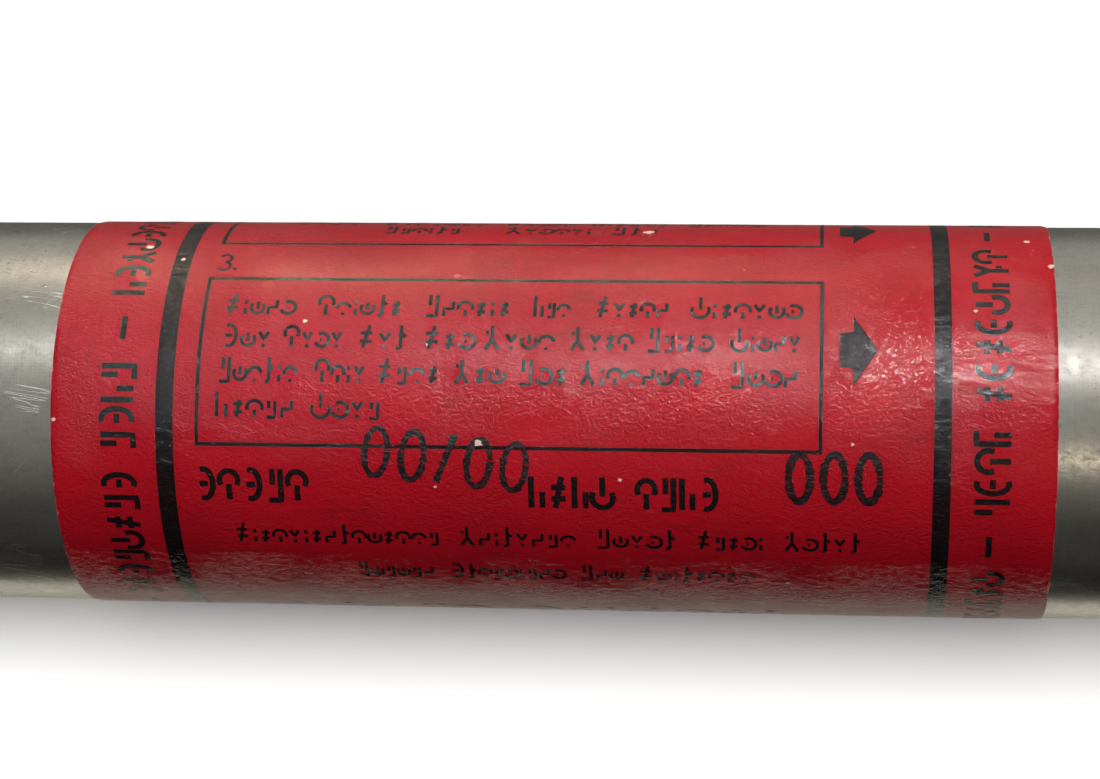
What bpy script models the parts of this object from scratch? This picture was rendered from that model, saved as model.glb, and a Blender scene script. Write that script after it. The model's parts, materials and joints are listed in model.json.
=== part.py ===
"""Hand-held signal flare of the pull-ring kind, as an assembly of separate pieces.

A Blender 4.5 script, in metres, +Z up. The flare lies on its side: its axis runs along X, with the
signal end at -X and the trigger end at +X, and it rests on the beads of its two end caps at Z = 0.

Inside the aluminium launch tube is a rocket: a payload case with a parachute and a candle, a motor
with a nozzle, and a tail with four fins. The trigger end holds a striker, a spring and a draw rod
with a cord and a ring, all under a drawn metal cap.

Lengths below are in millimetres, and the functions that make meshes turn them into metres.
X positions are along the axis, and radii are from it.
"""

import math

import bmesh
import bpy
from mathutils import Matrix, Vector

MM = 0.001
GAP = 0.3  # clearance between pieces that touch or slide

# Facets round the axis. Multiples of 4, so that one flat faces straight down.
OUTER_SIDES = 40
INNER_SIDES = 24
SMALL_SIDES = 16

# Driving dimensions: the whole flare
HALF_LENGTH = 133.5
TUBE_RADIUS = 22.2
TUBE_BORE = 21.0
BEAD_RADIUS = 23.2
AXIS_HEIGHT = BEAD_RADIUS * math.cos(math.pi / OUTER_SIDES)

# Launch tube and what is on it
TUBE_SIGNAL_END = -131.3
TUBE_TRIGGER_END = 96.0
CRIMP_CENTRE = 84.0
CRIMP_DEPTH = 0.5
CRIMP_WIDTH = 4.0
LABEL_CENTRE = -8.0
LABEL_LENGTH = 109.2
LABEL_RADIUS = 22.4
LABEL_THICKNESS = 0.15

# Signal-end closure, a shallow cup over the tube's mouth
CLOSURE_WALL = 0.6
CLOSURE_BORE = 22.5
CLOSURE_RIM = -119.5

# Payload: nose, parachute and candle
NOSE = (-130.6, -124.9)
CASE = (-124.6, -20.0)
CASE_RADIUS = 20.6
CASE_BORE = 19.7
PAYLOAD_RADIUS = 19.3
PARACHUTE = (-124.0, -80.0)
PACK_BAND = (-104.0, -100.0)
LINES = (-79.6, -67.0)
CANDLE_CAP = (-58.5, -55.5)
CANDLE = (-55.1, -30.2)
FELT_WAD = (-29.7, -28.1)

# Rocket motor and tail
COUPLER = (-27.6, -8.0)
MOTOR = (-13.6, 58.0)
MOTOR_RADIUS = 14.0
MOTOR_BORE = 12.8
GRAIN = (-6.0, 41.5)
GRAIN_BORE = 3.2
GRID = (42.0, 44.5)
NOZZLE = (45.0, 62.0)
TAIL_SLEEVE = (26.0, 60.0)
FIN_COUNT = 4
FIN_THICKNESS = 1.0
FIN_ROOT = 15.3
FIN_TIP = 19.5
BASE_WAD = (63.6, 65.6)

# Trigger housing and mechanism
HOUSING_FRONT = 66.0
HOUSING_RADIUS = 20.7
COLLAR = (97.3, 100.3)
NECK_END = 115.0
NECK_RADIUS = 21.1
NECK_BORE = 18.6
RECESS_FLOOR = 105.4
MECHANISM_BORE = 8.3
O_RING_X = 107.0
TRIGGER_PLATE = (105.7, 107.7)
SCREW_CIRCLE = 13.5
SCREW_COUNT = 3
HOLDER = (66.5, 77.0)
STRIKER_NOSE = 70.1
STRIKER = (77.4, 90.0)
STRIKER_RADIUS = 7.9
STRIKER_BORE = 5.95
BALL_X = 85.0
BALL_RADIUS = 1.3
BALL_CIRCLE = 6.6
RELEASE_GROOVE = (91.0, 95.0)
RELEASE_RADIUS = 9.4
SPRING = (90.3, 105.4)
SPRING_RADIUS = 7.0
SPRING_WIRE = 0.55
SPRING_TURNS = 5
ROD_END = 111.5

# Pull cord and ring, stowed under the metal cap
CORD_RADIUS = 0.8
COIL_START_RADIUS = 6.4
COIL_PITCH = 2.3
COIL_TURNS = 2.1
RING_X = 117.0
RING_RADIUS = 14.8
RING_WIRE = 1.2
LOOP_RADIUS = RING_WIRE + CORD_RADIUS + 0.35
STRAND_OFFSET = 1.0

# Metal cap
CAP_RIM = 100.6
CAP_WALL = 0.8
CAP_BORE = 21.4
TAPE = (94.0, 101.9)

# Name: base colour, metallic, roughness
MATERIALS = {
    "aluminium": ((0.60, 0.60, 0.57), 1.0, 0.35),
    "red_label": ((0.55, 0.02, 0.03), 0.0, 0.30),
    "cap_aluminium": ((0.66, 0.66, 0.63), 1.0, 0.30),
    "cast_alloy": ((0.45, 0.45, 0.44), 1.0, 0.50),
    "steel": ((0.50, 0.50, 0.50), 1.0, 0.30),
    "brass": ((0.75, 0.56, 0.25), 1.0, 0.30),
    "rubber": ((0.03, 0.03, 0.03), 0.0, 0.70),
    "cord_cotton": ((0.78, 0.74, 0.62), 0.0, 0.90),
    "cloth_tape": ((0.62, 0.50, 0.28), 0.0, 0.75),
    "cork": ((0.50, 0.34, 0.19), 0.0, 0.85),
    "card": ((0.55, 0.44, 0.30), 0.0, 0.85),
    "felt": ((0.42, 0.40, 0.36), 0.0, 0.95),
    "parachute_cloth": ((0.75, 0.20, 0.08), 0.0, 0.80),
    "lacquer": ((0.20, 0.02, 0.02), 0.0, 0.35),
    "inert_grain": ((0.10, 0.09, 0.09), 0.0, 0.80),
    "candle_filler": ((0.55, 0.33, 0.31), 0.0, 0.85),
}


def clear_scene():
    for obj in list(bpy.data.objects):
        bpy.data.objects.remove(obj)


def material(name):
    """The Principled material of that name, made once."""
    made = bpy.data.materials.get(name)
    if made:
        return made
    colour, metallic, roughness = MATERIALS[name]
    made = bpy.data.materials.new(name)
    made.use_nodes = True
    shader = made.node_tree.nodes["Principled BSDF"]
    shader.inputs["Base Color"].default_value = (*colour, 1.0)
    shader.inputs["Metallic"].default_value = metallic
    shader.inputs["Roughness"].default_value = roughness
    return made


def place(name, mesh, finish):
    """Links a mesh as one object on the flare's axis, with its material and smooth round faces."""
    mesh.materials.append(material(finish))
    mesh.shade_smooth()
    mesh.set_sharp_from_angle(angle=math.radians(30))
    obj = bpy.data.objects.new(name, mesh)
    obj.location.z = AXIS_HEIGHT * MM
    bpy.context.scene.collection.objects.link(obj)
    return obj


def mesh_from(bm, name):
    bmesh.ops.recalc_face_normals(bm, faces=bm.faces)
    mesh = bpy.data.meshes.new(name)
    bm.to_mesh(mesh)
    bm.free()
    return mesh


def turned(name, profile, finish, sides=INNER_SIDES):
    """A piece turned about the X axis from a closed profile of (x, radius) points."""
    bm = bmesh.new()
    start = Matrix.Rotation(math.pi / sides, 3, "X")
    corners = [bm.verts.new(start @ Vector((x, 0, r)) * MM) for x, r in profile]
    edges = [bm.edges.new(pair) for pair in zip(corners, corners[1:] + corners[:1])]
    bmesh.ops.spin(
        bm,
        geom=corners + edges,
        axis=(1, 0, 0),
        cent=(0, 0, 0),
        angle=2 * math.pi,
        steps=sides,
        use_merge=True,
    )
    bmesh.ops.remove_doubles(bm, verts=bm.verts, dist=1e-6)
    bmesh.ops.dissolve_degenerate(bm, edges=bm.edges, dist=1e-7)
    on_axis = [e for e in bm.edges if all(math.hypot(v.co.y, v.co.z) < 1e-6 for v in e.verts)]
    bmesh.ops.delete(bm, geom=on_axis, context="EDGES")
    return place(name, mesh_from(bm, name), finish)


def tube(name, span, outer, inner, finish, sides=INNER_SIDES):
    """A plain sleeve, washer or ring of square section."""
    low, high = span
    return turned(name, [(low, inner), (low, outer), (high, outer), (high, inner)], finish, sides)


def disc(name, span, radius, finish, sides=INNER_SIDES):
    """A plain solid disc or rod."""
    low, high = span
    return turned(name, [(low, 0), (low, radius), (high, radius), (high, 0)], finish, sides)


def torus(name, centre_x, ring_radius, wire_radius, finish, sides, wire_sides=8):
    """A ring of round wire about the axis."""
    turns = [2 * math.pi * (k + 0.5) / wire_sides for k in range(wire_sides)]
    section = [
        (centre_x + wire_radius * math.cos(t), ring_radius + wire_radius * math.sin(t)) for t in turns
    ]
    return turned(name, section, finish, sides)


def cutter(name, radius, depth, place_at, axis="X", sides=SMALL_SIDES):
    """A hidden cylinder that a Boolean cuts with. Its centre is place_at, from the flare's axis."""
    bm = bmesh.new()
    bmesh.ops.create_cone(
        bm,
        cap_ends=True,
        segments=sides,
        radius1=radius * MM,
        radius2=radius * MM,
        depth=depth * MM,
    )
    if axis == "X":
        bmesh.ops.rotate(bm, verts=bm.verts, matrix=Matrix.Rotation(math.pi / 2, 3, "Y"))
    if axis == "Y":
        bmesh.ops.rotate(bm, verts=bm.verts, matrix=Matrix.Rotation(math.pi / 2, 3, "X"))
    obj = bpy.data.objects.new(name, mesh_from(bm, name))
    obj.location = (Vector(place_at) + Vector((0, 0, AXIS_HEIGHT))) * MM
    obj.hide_render = True
    obj.display_type = "WIRE"
    bpy.context.scene.collection.objects.link(obj)
    return obj


def cut(obj, tool):
    boolean = obj.modifiers.new("cut_" + tool.name, "BOOLEAN")
    boolean.operation = "DIFFERENCE"
    boolean.object = tool
    boolean.solver = "EXACT"


def wire(name, points, radius, finish, closed=False, sides_level=2):
    """A round wire or cord along points, given in millimetres from the flare's axis."""
    curve = bpy.data.curves.new(name, "CURVE")
    curve.dimensions = "3D"
    curve.bevel_depth = radius * MM
    curve.bevel_resolution = sides_level
    curve.use_fill_caps = not closed
    spline = curve.splines.new("POLY")
    spline.points.add(len(points) - 1)
    for point, place_at in zip(spline.points, points):
        point.co = (*(Vector(place_at) * MM), 1)
    spline.use_cyclic_u = closed
    curve.materials.append(material(finish))
    obj = bpy.data.objects.new(name, curve)
    obj.location.z = AXIS_HEIGHT * MM
    bpy.context.scene.collection.objects.link(obj)
    return obj


def around(radius, angle, x):
    """The point at an angle about the axis: 0 is +Z, and it grows towards +Y."""
    return Vector((x, radius * math.sin(angle), radius * math.cos(angle)))


# ---------------------------------------------------------------- launch tube


def make_launch_tube():
    near, far = CRIMP_CENTRE - CRIMP_WIDTH / 2, CRIMP_CENTRE + CRIMP_WIDTH / 2
    flat = CRIMP_WIDTH / 4
    steps = [(near, 0), (near + flat, CRIMP_DEPTH), (far - flat, CRIMP_DEPTH), (far, 0)]
    outer = [(x, TUBE_RADIUS - depth) for x, depth in steps]
    inner = [(x, TUBE_BORE - depth) for x, depth in reversed(steps)]
    profile = [(TUBE_SIGNAL_END, TUBE_BORE), (TUBE_SIGNAL_END, TUBE_RADIUS)] + outer
    profile += [(TUBE_TRIGGER_END, TUBE_RADIUS), (TUBE_TRIGGER_END, TUBE_BORE)] + inner
    turned("launch_tube", profile, "aluminium", OUTER_SIDES)


def make_label():
    half = LABEL_LENGTH / 2
    span = (LABEL_CENTRE - half, LABEL_CENTRE + half)
    tube("label", span, LABEL_RADIUS, LABEL_RADIUS - LABEL_THICKNESS, "red_label", OUTER_SIDES)


def make_lacquer_seal():
    """The bead of lacquer where the closure's rim meets the tube."""
    start = CLOSURE_RIM + GAP
    foot = TUBE_RADIUS + 0.05
    profile = [(start, foot), (start, foot + 0.65), (start + 1.0, foot + 0.4), (start + 2.0, foot)]
    turned("lacquer_seal", profile, "lacquer", OUTER_SIDES)


def bead(centre, base, height, half_width):
    """Points of a rolled bead in a wall, from low x to high x."""
    return [
        (centre - half_width, base),
        (centre - half_width * 0.45, base + height),
        (centre + half_width * 0.45, base + height),
        (centre + half_width, base),
    ]


# ---------------------------------------------------------------- signal-end closure


def make_closure():
    """A drawn cup over the tube's mouth, with a bead near its rim and a raised ring on its face."""
    face, wall = -HALF_LENGTH, CLOSURE_WALL
    outer_radius = CLOSURE_BORE + wall
    lift = BEAD_RADIUS - outer_radius
    outside = [(face, 0), (face, outer_radius - 1.2), (face + 0.35, outer_radius - 0.35)]
    outside += [(face + 1.2, outer_radius)] + bead(CLOSURE_RIM - 2.5, outer_radius, lift, 1.2)
    outside += [(CLOSURE_RIM, outer_radius)]
    inside = [(CLOSURE_RIM, CLOSURE_BORE), (face + wall + 0.7, CLOSURE_BORE)]
    inside += [(face + wall, CLOSURE_BORE - 0.7), (face + wall, 0)]
    turned("signal_end_closure", outside + inside, "cap_aluminium", OUTER_SIDES)
    liner_face = face + wall + GAP / 2
    disc("closure_liner", (liner_face, TUBE_SIGNAL_END - GAP), TUBE_BORE, "cork")


# ---------------------------------------------------------------- payload


def make_nose_disc():
    low, high = NOSE
    rim = CASE_RADIUS - 0.1
    profile = [(low, 0), (low, rim - 1.5), (low + 1.5, rim), (high, rim), (high, 0)]
    turned("nose_disc", profile, "cork")


def make_parachute():
    low, high = PARACHUTE
    band_low, band_high = PACK_BAND
    full, waist = PAYLOAD_RADIUS, PAYLOAD_RADIUS - 1.6
    profile = [(low, 0), (low, full - 4), (low + 3, full - 0.6), (band_low - 4, full)]
    profile += [(band_low, waist), (band_high, waist), (band_high + 4, full)]
    profile += [(high - 4, full - 0.8), (high, full - 5), (high, 0)]
    turned("parachute_pack", profile, "parachute_cloth")
    clear = waist + 0.2
    tube("pack_band", (band_low + 0.5, band_high - 0.5), clear + 0.9, clear, "cord_cotton")
    low, high = LINES
    profile = [(low, 0), (low, 14), (low + 3, 13), (high - 2, 2.6), (high, 2.0), (high, 0)]
    turned("suspension_lines", profile, "cord_cotton", SMALL_SIDES)


def make_suspension_eye():
    """The steel eye that the lines are tied to, screwed into the candle's cap."""
    centre_x, ring, rod = -63.2, 2.5, 0.8
    steps = 16
    turns = [2 * math.pi * k / steps for k in range(steps)]
    points = [(centre_x + ring * math.cos(t), 0, ring * math.sin(t)) for t in turns]
    wire("suspension_eye", points, rod, "steel", closed=True)
    shank = (centre_x + ring + rod + 0.2, CANDLE_CAP[1] + 0.8)
    low, high = shank
    profile = [(low, 0), (low, 1.9), (low + 1.0, 1.9), (low + 1.0, 1.2), (high, 1.2), (high, 0)]
    turned("eye_stud", profile, "steel", SMALL_SIDES)


def make_candle():
    low, high = CANDLE_CAP
    rim = PAYLOAD_RADIUS
    bore = 1.2 + GAP
    profile = [(low, bore), (low, 6), (low + 0.8, 7), (low + 0.8, rim), (high, rim), (high, bore)]
    turned("candle_cap", profile, "aluminium")
    low, high = CANDLE
    wall = 0.6
    tube("candle_case", (low, high), rim, rim - wall, "aluminium")
    filler = rim - wall - GAP
    hollow = 1.6
    profile = [(low + 0.2, hollow), (low + 0.2, filler), (high - 3.0, filler), (high - 3.0, 0)]
    profile += [(low + 2.0, 0), (low + 2.0, hollow)]
    turned("candle_filler", profile, "candle_filler")
    disc("first_fire_disc", (high - 2.7, high - 0.8), filler, "inert_grain")
    disc("felt_wad", FELT_WAD, PAYLOAD_RADIUS, "felt")


# ---------------------------------------------------------------- rocket


def make_rocket_body():
    tube("payload_case", CASE, CASE_RADIUS, CASE_BORE, "aluminium")
    front, back = COUPLER
    spigot, shoulder = CASE_BORE - GAP, CASE_RADIUS
    recess, socket = 11.0, MOTOR_RADIUS + GAP
    web = (-24.0, MOTOR[0] - GAP)
    throat = 3.1
    profile = [(front, recess), (front, spigot), (CASE[1] + GAP, spigot), (CASE[1] + GAP, shoulder)]
    profile += [(-15.5, shoulder), (back, socket + 1.6), (back, socket), (web[1], socket)]
    profile += [(web[1], throat), (web[0], throat), (web[0], recess)]
    turned("motor_coupler", profile, "cast_alloy")
    cup_radius, wall = recess - GAP, 0.5
    low, high = front + 0.2, web[0] - GAP
    profile = [(low, 0), (low, cup_radius), (high, cup_radius), (high, cup_radius - wall)]
    profile += [(low + wall, cup_radius - wall), (low + wall, 0)]
    turned("ejection_cup", profile, "card")
    disc("delay_element", (web[0] + 0.2, MOTOR[0] + 4.0), throat - GAP, "brass", SMALL_SIDES)


def make_motor():
    tube("motor_case", MOTOR, MOTOR_RADIUS, MOTOR_BORE, "steel")
    filler = MOTOR_BORE - GAP
    tube("propellant_grain", GRAIN, filler, GRAIN_BORE, "inert_grain")
    grid = tube("grain_trap", GRID, filler, GRAIN_BORE, "steel")
    for k in range(6):
        centre = around(7.9, k * math.pi / 3, sum(GRID) / 2)
        cut(grid, cutter(f"trap_hole_{k}", 2.2, 8, centre, sides=12))
    low, high = NOZZLE
    throat, mouth = 3.0, 9.0
    profile = [(low, filler - 2.0), (low, filler), (MOTOR[1] + GAP, filler)]
    profile += [(MOTOR[1] + GAP, MOTOR_RADIUS), (high, MOTOR_RADIUS - 1.0), (high, mouth)]
    profile += [(low + 7.5, throat), (low + 5.5, throat)]
    turned("nozzle", profile, "cast_alloy")
    disc("nozzle_seal", (high + 0.3, high + 0.9), mouth + 1.2, "card")


def make_tail():
    """Four fins on a sleeve round the motor, inside a shroud ring that runs in the launch tube."""
    low, high = TAIL_SLEEVE
    tube("tail_sleeve", TAIL_SLEEVE, FIN_ROOT - GAP, MOTOR_RADIUS + GAP, "aluminium")
    tube("fin_shroud", (high - 13.0, high), CASE_RADIUS, FIN_TIP + GAP, "aluminium")
    half = FIN_THICKNESS / 2
    outline = [(low + 2, FIN_ROOT), (low + 13, FIN_TIP), (high - 0.5, FIN_TIP), (high - 0.5, FIN_ROOT)]
    for k in range(FIN_COUNT):
        bm = bmesh.new()
        face = bm.faces.new([bm.verts.new(Vector((x, -half, r)) * MM) for x, r in outline])
        grown = bmesh.ops.extrude_face_region(bm, geom=[face])
        moved = [v for v in grown["geom"] if isinstance(v, bmesh.types.BMVert)]
        bmesh.ops.translate(bm, verts=moved, vec=Vector((0, FIN_THICKNESS, 0)) * MM)
        turn = Matrix.Rotation(math.pi / 4 + k * 2 * math.pi / FIN_COUNT, 3, "X")
        bmesh.ops.rotate(bm, verts=bm.verts, matrix=turn)
        name = f"fin_{k + 1}"
        place(name, mesh_from(bm, name), "aluminium")


# ---------------------------------------------------------------- trigger end


def make_housing():
    """The cast housing closing the tube, with a hollow front, a collar and the neck for the cap."""
    boss, hollow, hollow_end = MECHANISM_BORE + 2.7, 18.4, 92.0
    crimp_low, crimp_high = CRIMP_CENTRE - CRIMP_WIDTH / 2 - 0.4, CRIMP_CENTRE + CRIMP_WIDTH / 2 + 0.4
    waist = HOUSING_RADIUS - CRIMP_DEPTH - 0.1
    groove_low, groove_high, groove = O_RING_X - 0.9, O_RING_X + 0.9, 19.55
    profile = [(HOUSING_FRONT, MECHANISM_BORE), (HOUSING_FRONT, boss), (hollow_end, boss)]
    profile += [(hollow_end, hollow), (HOUSING_FRONT, hollow), (HOUSING_FRONT, HOUSING_RADIUS)]
    profile += [(crimp_low, HOUSING_RADIUS), (crimp_low, waist), (crimp_high, waist)]
    profile += [(crimp_high, HOUSING_RADIUS), (COLLAR[0], HOUSING_RADIUS), (COLLAR[0], TUBE_RADIUS)]
    profile += [(COLLAR[1], TUBE_RADIUS), (COLLAR[1], NECK_RADIUS), (groove_low, NECK_RADIUS)]
    profile += [(groove_low, groove), (groove_high, groove), (groove_high, NECK_RADIUS)]
    profile += [(NECK_END, NECK_RADIUS), (NECK_END, NECK_BORE), (RECESS_FLOOR, NECK_BORE)]
    release_low, release_high = RELEASE_GROOVE
    profile += [(RECESS_FLOOR, MECHANISM_BORE), (release_high, MECHANISM_BORE)]
    profile += [(release_high, RELEASE_RADIUS), (release_low, RELEASE_RADIUS)]
    profile += [(release_low, MECHANISM_BORE)]
    housing = turned("trigger_housing", profile, "cast_alloy", OUTER_SIDES)
    for k in range(SCREW_COUNT):
        centre = around(SCREW_CIRCLE, 2 * math.pi * k / SCREW_COUNT, RECESS_FLOOR)
        cut(housing, cutter(f"screw_hole_{k}", 1.35, 16, centre, sides=12))
    washer = (TUBE_TRIGGER_END + 0.2, COLLAR[0] - 0.2)
    tube("collar_gasket", washer, TUBE_RADIUS - 0.1, HOUSING_RADIUS + 0.2, "rubber", OUTER_SIDES)
    torus("cap_o_ring", O_RING_X, 20.4, 0.65, "rubber", OUTER_SIDES)
    tube("base_wad", BASE_WAD, HOUSING_RADIUS - 0.2, 6.0, "card")


def make_trigger_plate():
    low, high = TRIGGER_PLATE
    hole = 2.9
    plate = tube("trigger_plate", TRIGGER_PLATE, NECK_BORE - GAP, hole, "steel")
    for k in range(SCREW_COUNT):
        angle = 2 * math.pi * k / SCREW_COUNT
        centre = around(SCREW_CIRCLE, angle, (low + high) / 2)
        cut(plate, cutter(f"plate_hole_{k}", 1.45, 8, centre, sides=12))
        make_screw(f"plate_screw_{k + 1}", angle, high + 0.2)
    sleeve, bore, flange = hole - GAP, 2.0, 4.2
    profile = [(low + 0.2, bore), (low + 0.2, sleeve), (high + 0.2, sleeve), (high + 0.2, flange)]
    profile += [(high + 0.7, flange), (high + 0.9, bore + 0.2), (high + 0.9, bore)]
    turned("rod_ferrule", profile, "brass", SMALL_SIDES)


def make_screw(name, angle, seat):
    """A slotted pan-head screw in the trigger plate, its head on seat."""
    shank, head, length, height = 1.05, 2.1, 8.0, 1.3
    sides = 12
    bm = bmesh.new()
    profile = [(seat - length, 0), (seat - length, shank), (seat, shank), (seat, head)]
    profile += [(seat + height * 0.6, head), (seat + height, head * 0.6), (seat + height, 0)]
    verts = [bm.verts.new(Vector((x, 0, r)) * MM) for x, r in profile]
    edges = [bm.edges.new(pair) for pair in zip(verts, verts[1:])]
    bmesh.ops.spin(
        bm,
        geom=verts + edges,
        axis=(1, 0, 0),
        cent=(0, 0, 0),
        angle=2 * math.pi,
        steps=sides,
        use_merge=True,
    )
    bmesh.ops.remove_doubles(bm, verts=bm.verts, dist=1e-6)
    bmesh.ops.translate(bm, verts=bm.verts, vec=around(SCREW_CIRCLE, angle, 0) * MM)
    screw = place(name, mesh_from(bm, name), "steel")
    slot_bm = bmesh.new()
    bmesh.ops.create_cube(slot_bm, size=1)
    bmesh.ops.scale(slot_bm, verts=slot_bm.verts, vec=Vector((1.2, 0.5, 6)) * MM)
    slot = bpy.data.objects.new(name + "_slot", mesh_from(slot_bm, name + "_slot"))
    slot.location = (around(SCREW_CIRCLE, angle, seat + height) + Vector((0, 0, AXIS_HEIGHT))) * MM
    slot.rotation_euler.x = 0.6 + angle
    slot.hide_render = True
    slot.display_type = "WIRE"
    bpy.context.scene.collection.objects.link(slot)
    cut(screw, slot)


def make_primer():
    low, high = HOLDER
    pocket, pocket_end, channel = 2.6, low + 3.6, 1.6
    rim = MECHANISM_BORE - GAP
    profile = [(low, pocket), (low, rim), (high, rim), (high, channel)]
    profile += [(pocket_end, channel), (pocket_end, pocket)]
    turned("primer_holder", profile, "brass", SMALL_SIDES)
    disc("primer", (low + 0.1, pocket_end - GAP), pocket - GAP, "brass", SMALL_SIDES)


def make_striker():
    """The striker, held to the draw rod by two balls, and the spring behind it."""
    front, back = STRIKER
    tip, socket_floor = 1.25, front + 2.2
    profile = [(STRIKER_NOSE, 0), (STRIKER_NOSE + 0.5, tip), (front, tip), (front, STRIKER_RADIUS - 0.4)]
    profile += [(front + 0.4, STRIKER_RADIUS), (back, STRIKER_RADIUS), (back, STRIKER_BORE)]
    profile += [(socket_floor, STRIKER_BORE), (socket_floor, 0)]
    striker = turned("striker", profile, "steel", SMALL_SIDES)
    cut(striker, cutter("ball_hole", BALL_RADIUS + GAP, 20, (BALL_X, 0, 0), axis="Z"))
    for k, side in enumerate((1, -1)):
        bm = bmesh.new()
        bmesh.ops.create_uvsphere(bm, u_segments=12, v_segments=8, radius=BALL_RADIUS * MM)
        centre = Vector((BALL_X, 0, side * BALL_CIRCLE)) * MM
        bmesh.ops.translate(bm, verts=bm.verts, vec=centre)
        name = f"release_ball_{k + 1}"
        place(name, mesh_from(bm, name), "steel")
    coils = []
    per_turn = 12
    low, high = SPRING[0] + SPRING_WIRE, SPRING[1] - SPRING_WIRE
    for k in range(SPRING_TURNS * per_turn + 1):
        share = k / (SPRING_TURNS * per_turn)
        coils.append(around(SPRING_RADIUS, 2 * math.pi * k / per_turn, low + (high - low) * share))
    wire("striker_spring", coils, SPRING_WIRE, "steel", sides_level=1)


def make_draw_rod():
    """The rod whose grooved head the balls hold, with a knob at its other end for the cord."""
    head, stem, knob = STRIKER_BORE - 0.35, 1.7, 2.6
    front, back = STRIKER[0] + 3.0, STRIKER[1] - 0.5
    groove, half = BALL_CIRCLE - BALL_RADIUS - 0.4, 1.7
    profile = [(front, 0), (front, head), (BALL_X - half, head), (BALL_X - half + 0.4, groove)]
    profile += [(BALL_X + half - 0.4, groove), (BALL_X + half, head), (back, head), (back, stem)]
    profile += [(ROD_END - 2.2, stem), (ROD_END - 1.4, knob), (ROD_END + 1.4, knob)]
    profile += [(ROD_END + 2.2, stem), (ROD_END + 2.2, 0)]
    rod = turned("draw_rod", profile, "steel", SMALL_SIDES)
    eye = CORD_RADIUS + 0.35
    cut(rod, cutter("cord_eye", eye, 12, (ROD_END, 0, 0), axis="Y"))


# ---------------------------------------------------------------- pull cord and ring


def coil_point(turn):
    """A point of the flat coil that starts beside the draw rod and winds outwards."""
    radius = COIL_START_RADIUS + COIL_PITCH * turn
    return around(radius, math.pi / 2 + 2 * math.pi * turn, ROD_END)


def catmull(points, spacing):
    """Points about spacing apart on a smooth curve through the given ones."""
    ends = [points[0] * 2 - points[1], *points, points[-1] * 2 - points[-2]]
    found = []
    for a, b, c, d in zip(ends, ends[1:], ends[2:], ends[3:]):
        steps = max(1, round((c - b).length / spacing))
        for k in range(steps):
            t = k / steps
            blend = (c - a) * t + (a * 2 - b * 5 + c * 4 - d) * t**2 + (b * 3 - a - c * 3 + d) * t**3
            found.append(b + blend / 2)
    return [*found, points[-1]]


def cord_route():
    """The stowed cord: out of the rod's eye, round the flat coil, and through the ring's loop."""
    start = [Vector((ROD_END, y, 0)) for y in (0, 3.2)]
    coil = [coil_point(k / 12) for k in range(1, round(COIL_TURNS * 12) + 1)]
    bottom = -RING_RADIUS
    rise = [
        Vector((ROD_END + 0.7, 6.6, -9.4)),
        Vector((ROD_END + 3.2, STRAND_OFFSET + 1.3, -8.6)),
        Vector((RING_X, STRAND_OFFSET, -9.6)),
        Vector((RING_X, STRAND_OFFSET, bottom + LOOP_RADIUS + 0.3)),
    ]
    loop = []
    for k in range(9):
        angle = math.pi / 4 + k * 1.5 * math.pi / 8
        side = STRAND_OFFSET * math.cos(math.pi * k / 8)
        x, z = LOOP_RADIUS * math.sin(angle), bottom + LOOP_RADIUS * math.cos(angle)
        loop.append(Vector((RING_X + x, side, z)))
    back = [Vector((RING_X, -STRAND_OFFSET, z)) for z in (bottom + LOOP_RADIUS + 0.3, -8.4)]
    return start + coil + rise + loop + back


def make_cord_and_ring():
    wire("pull_cord", catmull(cord_route(), 2.4), CORD_RADIUS, "cord_cotton")
    bm = bmesh.new()
    steps, wall = 20, 0.5
    low, high = -11.9, -9.9
    half_y, half_x = STRAND_OFFSET + CORD_RADIUS + 0.25, CORD_RADIUS + 0.25
    for z in (low, high):
        for grow in (0, wall):
            for k in range(steps):
                t = 2 * math.pi * k / steps
                y = math.copysign(abs(math.cos(t)) ** 0.7, math.cos(t)) * (half_y + grow)
                x = math.copysign(abs(math.sin(t)) ** 0.7, math.sin(t)) * (half_x + grow)
                bm.verts.new(Vector((RING_X + x, y, z)) * MM)
    bm.verts.ensure_lookup_table()
    inner_low, outer_low, inner_high, outer_high = range(0, 4 * steps, steps)
    for a, b in (
        (inner_low, outer_low),
        (outer_low, outer_high),
        (outer_high, inner_high),
        (inner_high, inner_low),
    ):
        for k in range(steps):
            n = (k + 1) % steps
            bm.faces.new([bm.verts[i] for i in (a + k, a + n, b + n, b + k)])
    place("cord_crimp", mesh_from(bm, "cord_crimp"), "brass")
    torus("pull_ring", RING_X, RING_RADIUS, RING_WIRE, "steel", INNER_SIDES)


# ---------------------------------------------------------------- metal cap


def make_cap():
    """The drawn cap over the neck, with two rolled beads, a cork liner and a strip of tape."""
    face, wall = HALF_LENGTH, CAP_WALL
    outer, lift = TUBE_RADIUS, BEAD_RADIUS - TUBE_RADIUS
    beads = (CAP_RIM + 4.2, face - 6.5)
    outside = [(CAP_RIM, CAP_BORE), (CAP_RIM, outer)]
    for centre in beads:
        outside += bead(centre, outer, lift, 1.5)
    outside += [(face - 2.6, outer), (face - 0.8, outer - 0.8), (face, outer - 2.6), (face, 0)]
    inside = [(face - wall, 0), (face - wall, CAP_BORE - 2.2), (face - wall - 2.2, CAP_BORE)]
    for centre in reversed(beads):
        inside += reversed(bead(centre, CAP_BORE, lift - 0.1, 1.1))
    turned("metal_cap", outside + inside, "cap_aluminium", OUTER_SIDES)
    liner_face = face - wall - GAP / 2
    disc("cap_liner", (liner_face - 1.3, liner_face), CAP_BORE - 2.4, "cork")
    inner = TUBE_RADIUS + 0.1
    tube("sealing_tape", TAPE, inner + 0.25, inner, "cloth_tape", OUTER_SIDES)


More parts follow.
